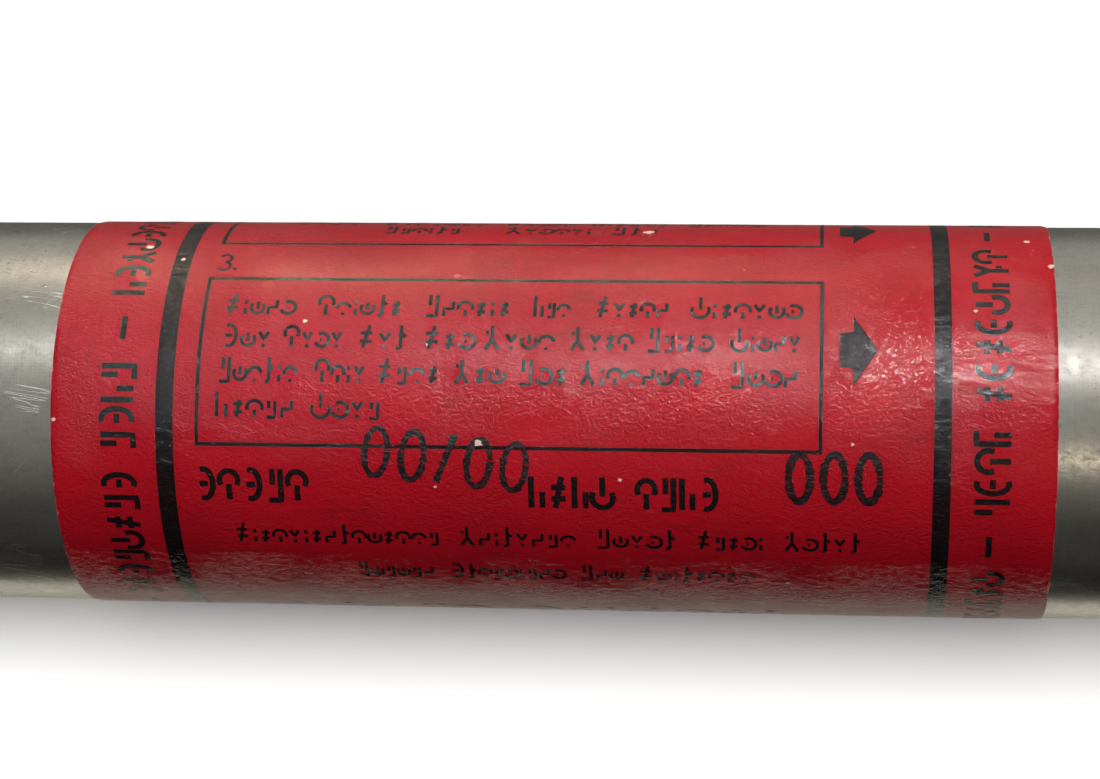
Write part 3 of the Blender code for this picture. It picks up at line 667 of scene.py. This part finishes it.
def outline(node):
    """A turned CAD node's outline as (x, radius) points, read from one meridian, and if it is a ring.

    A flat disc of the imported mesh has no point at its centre, so a solid's outline is led to the axis.
    """
    mesh = frame["nodes"][node].data
    places = []
    for vertex in mesh.vertices:
        x, y, z = vertex.co / MM
        z -= AXIS_HEIGHT
        places.append((round(x, 2), round(math.hypot(y, z), 2), math.atan2(y, z)))
    side = min(angle for _, radius, angle in places if radius > ON_AXIS and angle > 0.001)
    links = {}
    for edge in mesh.edges:
        (xa, ra, angle_a), (xb, rb, angle_b) = (places[i] for i in edge.vertices)
        there = all(r < ON_AXIS or abs(a - side) < 2e-3 for r, a in ((ra, angle_a), (rb, angle_b)))
        if there and (xa, ra) != (xb, rb) and max(ra, rb) > ON_AXIS:
            links.setdefault((xa, ra), set()).add((xb, rb))
            links.setdefault((xb, rb), set()).add((xa, ra))
    ends = [place for place, near in links.items() if len(near) == 1]
    walk = [min(ends) if ends else min(links)]
    while ahead := [place for place in sorted(links[walk[-1]]) if place not in walk]:
        walk.append(ahead[0])
    (first_x, first_radius), (last_x, last_radius) = walk[0], walk[-1]
    if not ends or abs(first_x - last_x) < ON_AXIS:
        return walk, True
    start = [(first_x, 0.0)] if first_radius > ON_AXIS else []
    finish = [(last_x, 0.0)] if last_radius > ON_AXIS else []
    return start + walk + finish, False


def softened(profile, closed, size=EDGE_ROUND):
    """The outline with each sharp corner replaced by a short round of three points."""
    found = []
    count = len(profile)
    for k, here in enumerate(profile):
        if not closed and k in (0, count - 1):
            found.append(here)
            continue
        corner = Vector(here)
        before, after = Vector(profile[k - 1]) - corner, Vector(profile[(k + 1) % count]) - corner
        if before.length < 1e-6 or after.length < 1e-6:
            continue
        turn = before.angle(after)
        reach = min(size, before.length * 0.4, after.length * 0.4)
        if turn > math.radians(150) or reach < 0.01:
            found.append(here)
            continue
        a, b = corner + before.normalized() * reach, corner + after.normalized() * reach
        middle = (a + b) / 2 * 0.5 + corner * 0.5
        found += [tuple(a), tuple(middle), tuple(b)]
    return found


def lathe(bm, profile, closed, sides, ripple=None):
    """Turns an outline about the axis. ripple(x, radius, angle) may shift a point's x and radius."""
    rings = []
    for x, radius in profile:
        if radius < ON_AXIS:
            rings.append([bm.verts.new(from_axis(x, 0, 0))])
            continue
        ring = []
        for k in range(sides):
            angle = 2 * math.pi * k / sides
            along, out = ripple(x, radius, angle) if ripple else (0.0, 0.0)
            ring.append(bm.verts.new(from_axis(x + along, angle, radius + out)))
        rings.append(ring)
    pairs = list(zip(rings, rings[1:])) + ([(rings[-1], rings[0])] if closed else [])
    for a, b in pairs:
        if len(a) == len(b):
            if len(a) > 1:
                join_rings(bm, a, b)
            continue
        tip, rim = (a[0], b) if len(a) == 1 else (b[0], a)
        for k in range(sides):
            bm.faces.new((tip, rim[k], rim[(k + 1) % sides]))


def split_long(profile, closed, longest):
    """More points on long stretches, so that a ripple can bend them."""
    count = len(profile)
    found = []
    for k, here in enumerate(profile):
        found.append(here)
        if not closed and k == count - 1:
            break
        there = profile[(k + 1) % count]
        steps = max(1, math.ceil(math.dist(here, there) / longest))
        for n in range(1, steps):
            t = n / steps
            found.append((here[0] + (there[0] - here[0]) * t, here[1] + (there[1] - here[1]) * t))
    return found


def finer(node, ripple=None, longest=None):
    """A turned CAD node made again with more sides and soft corners, in its finished material."""
    profile, closed = outline(node)
    profile = softened([(x, min(radius, AXIS_HEIGHT)) for x, radius in profile], closed)
    if longest:
        profile = split_long(profile, closed, longest)
    bm = bmesh.new()
    lathe(bm, profile, closed, FINE_SIDES, ripple)
    finish_mesh(bm, node + "_finished", node)


# -------- the label


def label_wave(x, angle):
    """Millimetres by which the label stands off the tube at a place: slack wrinkles and lumps."""
    arc = math.remainder(angle, 2 * math.pi) * LABEL_RADIUS
    broad = noise.noise(Vector((x * 0.10, arc * 0.22, 3.0)))
    lumps = noise.noise(Vector((x * 0.45, arc * 0.9, 7.0)))
    return 0.020 * broad + 0.012 * lumps


def make_label(surface):
    """The wrapped label: two edges, slightly ragged, and an overlap at the back."""
    columns, rows = 220, 480
    thick = LABEL_RADIUS - LABEL_BORE
    bm = bmesh.new()
    sheets = []
    for level in (0, 1):
        sheet = []
        for i in range(columns + 1):
            share = i / columns
            line = []
            for k in range(rows):
                angle = LABEL_SEAM + 2 * math.pi * k / rows
                arc = angle * LABEL_RADIUS
                side = -1.0 if share < 0.5 else 1.0
                ragged = 0.03 * noise.noise(Vector((side * 9, arc * 1.3, 1.0)))
                nick = max(0.0, noise.noise(Vector((side * 40, arc * 0.9, 5.0))) - 0.62) * 1.6
                end = LABEL_HALF - abs(ragged) - nick
                x = -end + 2 * end * share
                rim = min(1.0, min(share, 1 - share) * 2 * LABEL_HALF / 0.25)
                lift = label_wave(x, angle) * rim
                overlap = max(0.0, 1 - k / 24) ** 0.3 * 0.05
                top = thick * (0.55 + 0.45 * rim**0.5) - 0.03 + lift + overlap * 0.4
                radius = LABEL_BORE + (top if level else 0.0)
                line.append(bm.verts.new(from_axis(LABEL_CENTRE + x, angle, radius)))
            sheet.append(line)
        sheets.append(sheet)
    for sheet in sheets:
        for a, b in zip(sheet, sheet[1:]):
            join_rings(bm, a, b)
    for edge in (0, columns):
        join_rings(bm, sheets[0][edge], sheets[1][edge])
    return finish_mesh(bm, "label_sheet", "label", surface, 80)


# -------- print on the label


class Print:
    """Ink strokes that follow the label's curve, gathered into one mesh."""

    def __init__(self, seed):
        self.bm = bmesh.new()
        self.random = random.Random(seed)

    def height(self, x, arc):
        return label_wave(x, arc / LABEL_RADIUS) - 0.03 + INK_HEIGHT

    def section(self, left, right):
        """Four corners of a stroke's cross-section, from its two edge points in (x, arc)."""
        corners = []
        for (x, arc), drop in ((left, -0.05), (left, 0.0), (right, 0.0), (right, -0.05)):
            corners.append(self.bm.verts.new(on_label(x, arc, self.height(x, arc) + drop)))
        return corners

    def skin(self, sections):
        for a, b in zip(sections, sections[1:]):
            join_rings(self.bm, a, b)
        self.bm.faces.new(sections[0])
        self.bm.faces.new(sections[-1][::-1])

    def stroke(self, points, width, rough=0.03):
        """A line of ink of one width along (x, arc) points."""
        dense = [Vector(points[0])]
        for a, b in zip(points, points[1:]):
            a, b = Vector(a), Vector(b)
            steps = max(1, math.ceil((b - a).length / INK_STEP))
            dense += [a.lerp(b, (k + 1) / steps) for k in range(steps)]
        sections = []
        for k, here in enumerate(dense):
            before, after = dense[max(0, k - 1)], dense[min(len(dense) - 1, k + 1)]
            ahead = (after - before).normalized()
            aside = Vector((-ahead.y, ahead.x))
            half = width / 2 * (1 + self.random.uniform(-rough, rough) * 2)
            sections.append(self.section(here + aside * half, here - aside * half))
        self.skin(sections)

    def fill(self, edges, low, high, step=INK_STEP):
        """A filled shape: edges(arc) gives its two x values at each arc from low to high."""
        steps = max(2, math.ceil((high - low) / step))
        sections = []
        for k in range(steps + 1):
            arc = low + (high - low) * k / steps
            a, b = edges(arc)
            sections.append(self.section((a, arc), (b, arc)))
        self.skin(sections)

    def finish(self, name, surface):
        return finish_mesh(self.bm, name, "label", surface, extra=True)


def bow(cx, cy, radius, start, end, steps=9, squash=1.0):
    """Points of an arc of a circle, in degrees."""
    found = []
    for k in range(steps + 1):
        t = math.radians(start + (end - start) * k / steps)
        found.append((cx + radius * squash * math.cos(t), cy + radius * math.sin(t)))
    return found


# Invented marks, in units of the height of the tall ones. Each is (width, strokes).
# They stand for lines of print without being letters of any alphabet.
MARKS = [
    (0.36, [[(0.30, 0.66), (0.30, 0.0), (0.0, 0.0)], [(0.08, 0.36), (0.08, 0.66)]]),
    (0.44, [bow(0.21, 0.34, 0.27, 140, 400), [(0.21, 0.26), (0.21, 0.62)]]),
    (0.12, [[(0.04, 0.0), (0.04, 0.30)], [(0.04, 0.50), (0.04, 0.68)]]),
    (0.46, [bow(0.21, 0.30, 0.28, 180, 10), [(0.21, 0.12), (0.21, 0.0)]]),
    (0.36, [[(0.16, 0.0), (0.16, 1.0)], [(0.16, 0.66), (0.34, 0.50)], [(0.0, 0.0), (0.16, 0.0)]]),
    (0.44, [bow(0.20, 0.38, 0.28, -20, 200), [(0.20, 0.0), (0.20, 0.30)]]),
    (0.36, [[(0.0, 0.20), (0.32, 0.20)], [(0.0, 0.52), (0.32, 0.52)], [(0.10, 0.0), (0.22, 0.68)]]),
    (0.44, [bow(0.20, 0.34, 0.30, 200, 480), [(0.10, 0.34), (0.20, 0.34)]]),
    (0.40, [[(0.0, 0.0), (0.0, 0.34), (0.34, 0.34), (0.34, 0.68)]]),
    (0.42, [[(0.0, 0.66), (0.18, 0.34), (0.36, 0.66)], [(0.18, 0.16), (0.18, 0.0)]]),
]
TALL_MARKS = [
    (0.42, [[(0.0, 0.0), (0.0, 1.0)], [(0.34, 0.0), (0.34, 0.52)]]),
    (0.54, [bow(0.24, 0.62, 0.30, -30, 210), [(0.24, 0.0), (0.24, 0.50)]]),
    (0.48, [[(0.40, 1.0), (0.40, 0.0), (0.0, 0.0)], [(0.14, 0.50), (0.14, 1.0)]]),
    (0.56, [[(0.24, 1.0), (0.24, 0.42), (0.0, 0.0)], [(0.24, 0.42), (0.48, 0.0)]]
        + [[(0.0, 0.72), (0.12, 0.72)]]),
    (0.56, [bow(0.20, 0.5, 0.47, -110, 110, squash=0.62), [(0.06, 0.5), (0.34, 0.5)]]),
    (0.52, [[(0.0, 0.30), (0.44, 0.30)], [(0.0, 0.66), (0.44, 0.66)], [(0.12, 0.0), (0.32, 1.0)]]),
    (0.54, [bow(0.24, 0.36, 0.33, 150, 390), [(0.24, 0.40), (0.24, 1.0)]]),
]


def word(ink, marks, start, end, base, height, weight, place, lead=None):
    """Fills a stretch of a line with marks. place(along, up) gives their (x, arc)."""
    gap = 0.20 * height
    chosen, used = [], 0.0
    while used < end - start - 0.15 * height:
        choice = lead if lead and not chosen else ink.random.choice(marks)
        if chosen and choice is chosen[-1]:
            continue
        chosen.append(choice)
        used += choice[0] * height + gap
    stretch = (end - start) / max(used - gap, 0.1)
    at = start
    for width, strokes in chosen:
        for points in strokes:
            placed = [place(at + px * height * stretch, base + py * height) for px, py in points]
            ink.stroke(placed, weight)
        at += (width * height + gap) * stretch


def level(along_line, up):
    """Marks that read along the flare."""
    return along_line, up


def upwards(along_line, up):
    """Marks that read up the label, their tops towards -X."""
    return -up, along_line


def downwards(along_line, up):
    """Marks that read down the label, their tops towards +X."""
    return up, -along_line


def frame_box(ink, low_x, high_x, low, high):
    half = FRAME_WIDTH / 2
    ink.stroke([(low_x - half, low), (high_x + half, low)], FRAME_WIDTH)
    ink.stroke([(low_x - half, high), (high_x + half, high)], FRAME_WIDTH)
    ink.stroke([(low_x, low - half), (low_x, high + half)], FRAME_WIDTH)
    ink.stroke([(high_x, low - half), (high_x, high + half)], FRAME_WIDTH)


def arrow(ink, centre):
    """A block arrow that points at the trigger end."""
    tail, neck, tip = 31.5, 33.0, 35.6
    shaft, wing = 2.15, 4.05

    def edges(arc):
        away = abs(arc - centre)
        start = tail if away < shaft else neck
        return start, max(start + 0.05, tip - (tip - neck) * away / wing)

    ink.fill(edges, centre - wing, centre + wing, 0.27)


def text_line(ink, base, words, height=TEXT_HEIGHT, weight=TEXT_WEIGHT):
    """Words along one line, each led by a tall mark."""
    for start, end in words:
        word(ink, MARKS, start, end, base, height, weight, level, ink.random.choice(TALL_MARKS))


def heading(ink, start, end, base, place=level):
    word(ink, TALL_MARKS, start, end, base, HEADING_HEIGHT, HEADING_WEIGHT, place)


def ring_band(ink, place, base, starts):
    """Heavy marks that read round the tube near one end of the label, in repeated groups."""
    for start in starts:
        heading(ink, start, start + 20.0, base, place)
        heading(ink, start + 22.8, start + 32.2, base, place)
        ink.stroke([place(start + 35.0, base + 1.7), place(start + 37.8, base + 1.7)], HEADING_WEIGHT)


# The three steps: the frame's sides, its lines, and the arrow's arc. Each line is the arc of its
# base and the x at which each word starts and ends. The third faces the camera, the second goes
# over the top, and the first is at the back.
STEPS = [
    (
        (-38.2, 29.6, -3.5, 16.3),
        [
            (11.3, [(-35.7, -28.2), (-25.3, -16.3), (-13.5, -4.3), (-1.5, 2.2), (5.3, 13.0), (15.8, 27.3)]),
            (7.3, [(-35.7, -30.5), (-28.7, -22.5), (-20.5, -15.4), (-13.3, -8.0)]
                + [(-6.7, 0.7), (2.7, 9.2), (11.0, 17.8), (20.2, 27.3)]),
            (3.4, [(-35.8, -27.3), (-25.0, -19.8), (-18.2, -11.7), (-9.8, -4.6)]
                + [(-2.8, 2.3), (3.9, 17.0), (20.0, 27.0)]),
            (-0.5, [(-36.0, -27.5), (-25.2, -18.0)]),
        ],
        7.65,
    ),
    (
        (-38.0, 29.5, 23.0, 42.0),
        [
            (26.3, [(-20.0, -11.5), (-6.0, 3.5), (6.0, 11.0)]),
            (30.4, [(-31.0, -23.5), (-20.5, -9.0), (-6.5, 1.0), (3.5, 12.0), (14.5, 23.0)]),
        ],
        27.9,
    ),
    (
        (-38.0, 29.5, 48.5, 64.0),
        [
            (56.2, [(-33.0, -24.0), (-21.5, -12.0), (-9.5, 4.0), (6.5, 13.0), (15.5, 25.0)]),
            (52.0, [(-25.0, -14.0), (-11.5, -3.0), (0.0, 9.0), (11.5, 19.0)]),
        ],
        None,
    ),
]


def make_print():
    """All the print, in three pieces."""
    ink = Print(11)
    half_turn = math.pi * LABEL_RADIUS - 0.01
    ink.fill(lambda arc: (-42.84, -40.84), -half_turn, half_turn)
    ink.fill(lambda arc: (41.57, 43.46), -half_turn, half_turn)
    for sides, lines, arrow_arc in STEPS:
        frame_box(ink, *sides)
        for base, words in lines:
            text_line(ink, base, words)
        if arrow_arc:
            arrow(ink, arrow_arc)
    # headings under the third step, two small lines, and the title at the back
    heading(ink, -38.3, -26.2, -9.9)
    heading(ink, -1.5, 7.3, -10.3)
    heading(ink, 10.2, 18.7, -10.3)
    small_lines = [
        (-15.5, [(-34.5, -12.0), (-9.5, 3.0), (5.5, 14.0), (16.5, 23.5), (26.0, 34.0)]),
        (-21.0, [(-21.5, -13.0), (-11.0, 1.5), (3.5, 8.0), (10.0, 22.5)]),
        (-54.0, [(-30.0, -18.0), (-15.0, -4.0), (-1.0, 12.0), (15.0, 26.0)]),
    ]
    for base, words in small_lines[:2]:
        text_line(ink, base, words, SMALL_HEIGHT, SMALL_WEIGHT)
    for base, words in ((-36.0, [(-30.0, -8.0), (-3.0, 26.0)]), (-46.0, [(-24.0, -2.0), (3.0, 20.0)])):
        for start, end in words:
            word(ink, TALL_MARKS, start, end, base, TITLE_HEIGHT, TITLE_WEIGHT, level)
    text_line(ink, *small_lines[2], SMALL_HEIGHT, SMALL_WEIGHT)
    ring_band(ink, upwards, 45.3, [-67.9, -26.9, 14.1])
    ring_band(ink, downwards, 46.0, [-62.5, -21.9, 18.7])
    black = ink_black()
    return [
        ink.finish("label_print", black),
        numerals(Print(5)).finish("step_numerals", black),
        stamps(Print(7)).finish("stamped_figures", stamp_ink()),
    ]


def numerals(ink):
    """The step numbers, drawn with plain strokes, each with a full stop."""
    shapes = [
        (17.7, [bow(0.0, 2.05, 0.68, 150, -90), bow(0.0, 0.68, 0.72, 90, -150)]),
        (43.5, [[*bow(0.0, 2.0, 0.7, 160, -30), (-0.7, 0.0), (0.8, 0.0)]]),
        (65.0, [[(-0.4, 2.2), (0.0, 2.7), (0.0, 0.0)]]),
    ]
    for base, strokes in shapes:
        for points in strokes:
            ink.stroke([(x - 37.0, base + arc) for x, arc in points], NUMERAL_WEIGHT)
        ink.stroke([(-35.7, base), (-35.7, base + 0.4)], 0.4)
    return ink


def stamps(ink):
    """Noughts and bars where a date and a lot would be stamped by hand, a little askew."""
    height, weight, tilt = 5.3, 0.74, -0.10
    for at in (-18.4, -14.4, -7.2, -3.3):
        centre = -4.9 + tilt * (at + 10.8)
        nought = bow(at, centre, height / 2, 8, 366, 26, squash=0.48)
        ink.stroke([(x + 0.10 * (arc - centre), arc) for x, arc in nought], weight, 0.12)
    ink.stroke([(-11.9, -7.4), (-9.7, -2.1)], weight, 0.12)
    for at in (27.4, 31.1, 34.8):
        ink.stroke(bow(at, -6.4, height / 2, 8, 366, 26, squash=0.44), weight + 0.1, 0.12)
    return ink


def make_chips(surface):
    """Ragged bare spots where the varnish and the red have flaked off, as low flat flakes."""
    bm = bmesh.new()
    rand = random.Random(3)
    spots = [(-7.2, -3.0, 0.55), (10.1, 27.0, 0.75), (-46.2, 22.0, 0.5), (-41.9, 19.5, 0.35)]
    spots += [(52.0, 24.6, 0.4), (54.3, 19.2, 0.45), (-26.8, 10.5, 0.3), (8.2, -6.9, 0.28)]
    spots += [(-54.2, -1.0, 0.3), (46.0, 12.5, 0.25), (-12.0, -8.0, 0.22), (33.0, -2.6, 0.22)]
    for x, arc, size in spots:
        count = 11
        rim = []
        for k in range(count):
            t = 2 * math.pi * k / count
            reach = size * rand.uniform(0.55, 1.05)
            rim.append((x + reach * math.cos(t), arc + reach * 0.8 * math.sin(t)))
        lift = label_wave(x, arc / LABEL_RADIUS)
        top = [bm.verts.new(on_label(a, b, lift)) for a, b in rim]
        low = [bm.verts.new(on_label(a, b, lift - 0.06)) for a, b in rim]
        bm.faces.new(top)
        bm.faces.new(low[::-1])
        join_rings(bm, top, low)
    return finish_mesh(bm, "bare_spots", "label", surface, extra=True)


# -------- parachute


def pack_folds(x, radius, angle):
    """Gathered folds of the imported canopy: lengthwise pleats, twisted a little, and fine creases."""
    share = min(1.0, radius / PACK_RADIUS)
    around = Vector((math.cos(angle), math.sin(angle), x * 0.06))
    twist = 2.2 * noise.noise(around * 1.3) + 0.035 * x
    pleat = abs(math.sin(PLEATS / 2 * angle + twist)) ** 0.55
    second = abs(math.sin(PLEATS * 1.1 * angle - 1.7 * twist)) ** 0.8
    creases = noise.noise(Vector((x * 0.5, angle * 9, radius * 0.4)))
    near_end = max(0.0, 1 - min(x - PACK_LOW, PACK_HIGH - x) / 5.0)
    depth = PLEAT_DEPTH * (1 + 0.5 * near_end)
    out = -share * (depth * (1 - pleat) + 0.35 * (1 - second)) + 0.12 * creases * share
    inwards = 1.0 if x < (PACK_LOW + PACK_HIGH) / 2 else -1.0
    along = inwards * near_end * share * (1.1 * (1 - pleat) + 0.3 * abs(creases))
    return along, min(out, 0.0)


def make_parachute():
    """The folded canopy under its band, as one soft closed form."""
    profile, closed = outline("parachute_pack")
    profile = split_long(softened(profile, closed, 2.0), closed, 0.9)
    bm = bmesh.new()
    lathe(bm, profile, closed, PLEATS * 16, pack_folds)
    pack = finish_mesh(bm, "folded_canopy", "parachute_pack", smooth_angle=70)


def tube_along(bm, points, radius, sides=8, across=(0.2, 0.5, 1.0)):
    """A capped round tube along points, in millimetres from the axis, that never run along across."""
    rings = []
    for k, here in enumerate(points):
        ahead = (points[min(k + 1, len(points) - 1)] - points[max(k - 1, 0)]).normalized()
        side = ahead.cross(Vector(across)).normalized()
        other = ahead.cross(side)
        ring = []
        for n in range(sides):
            t = 2 * math.pi * n / sides
            place = here + side * (radius * math.cos(t)) + other * (radius * math.sin(t))
            ring.append(bm.verts.new((place + Vector((0, 0, AXIS_HEIGHT))) * MM))
        rings.append(ring)
    for a, b in zip(rings, rings[1:]):
        join_rings(bm, a, b)
    bm.faces.new(rings[0][::-1])
    bm.faces.new(rings[-1])


def make_suspension_lines():
    """The canopy's lines, gathered from the end of the pack to the knot at the candle's eye."""
    low, high = (corner.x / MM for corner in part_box("suspension_lines"))
    rand = random.Random(21)
    bm = bmesh.new()
    for circle, count in ((12.6, 14), (8.2, 9), (4.0, 5)):
        for k in range(count):
            angle = 2 * math.pi * (k + rand.uniform(-0.25, 0.25)) / count
            swing = rand.uniform(-0.5, 0.5)
            points = []
            for step in range(LINE_STEPS + 1):
                t = step / LINE_STEPS
                reach = LINE_GATHER + (circle - LINE_GATHER) * (1 - t) ** 1.5
                turn = angle + swing * t
                x = low + LINE_RADIUS + (high - low - 2 * LINE_RADIUS) * t
                points.append(Vector((x, reach * math.sin(turn), reach * math.cos(turn))))
            tube_along(bm, points, LINE_RADIUS)
    knot = [(2.4, 0.0), (2.2, 1.5), (1.4, 2.05), (0.6, 1.9), (0.0, 0.9), (0.0, 0.0)]
    lathe(bm, [(high - back, radius) for back, radius in knot], False, 24)
    finish_mesh(bm, "gathered_lines", "suspension_lines", smooth_angle=50)


def make_spring():
    """The striker spring, a round wire in five coils."""
    low, high = (corner.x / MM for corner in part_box("striker_spring"))
    steps = SPRING_TURNS * SPRING_STEPS
    coils = []
    for k in range(steps + 1):
        share = k / steps
        along = low + SPRING_WIRE + (high - low - 2 * SPRING_WIRE) * share
        turn = 2 * math.pi * SPRING_TURNS * share
        coils.append(Vector((along, SPRING_RADIUS * math.sin(turn), SPRING_RADIUS * math.cos(turn))))
    bm = bmesh.new()
    tube_along(bm, coils, SPRING_WIRE, 12, (1.0, 0.0, 0.0))
    piece = finish_mesh(bm, "coiled_spring", "striker_spring")
    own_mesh(piece)


# -------- making it all

FINER_NODES = """
    signal_end_closure closure_liner lacquer_seal metal_cap cap_liner sealing_tape nose_disc payload_case
    motor_coupler motor_case nozzle nozzle_seal tail_sleeve fin_shroud candle_cap candle_case felt_wad
    collar_gasket cap_o_ring pull_ring base_wad rod_ferrule pack_band
""".split()


def tube_ripple(x, radius, angle):
    """The slight dents and waviness of a handled tube."""
    return 0.0, 0.03 * noise.noise(Vector((x * 0.03, math.cos(angle), math.sin(angle))))


make_camera()
for node, slot_name in NODE_SLOT.items():
    if slot_name in FINISHES:
        node_object = frame["nodes"][node]
        node_object.data.materials.clear()
        node_object.data.materials.append(FINISHES[slot_name])
finer("launch_tube", ripple=tube_ripple, longest=6)
for node in FINER_NODES:
    finer(node)
make_parachute()
make_suspension_lines()
make_spring()
make_stage([make_label(label_red()), *make_print(), make_chips(paper_chip())])
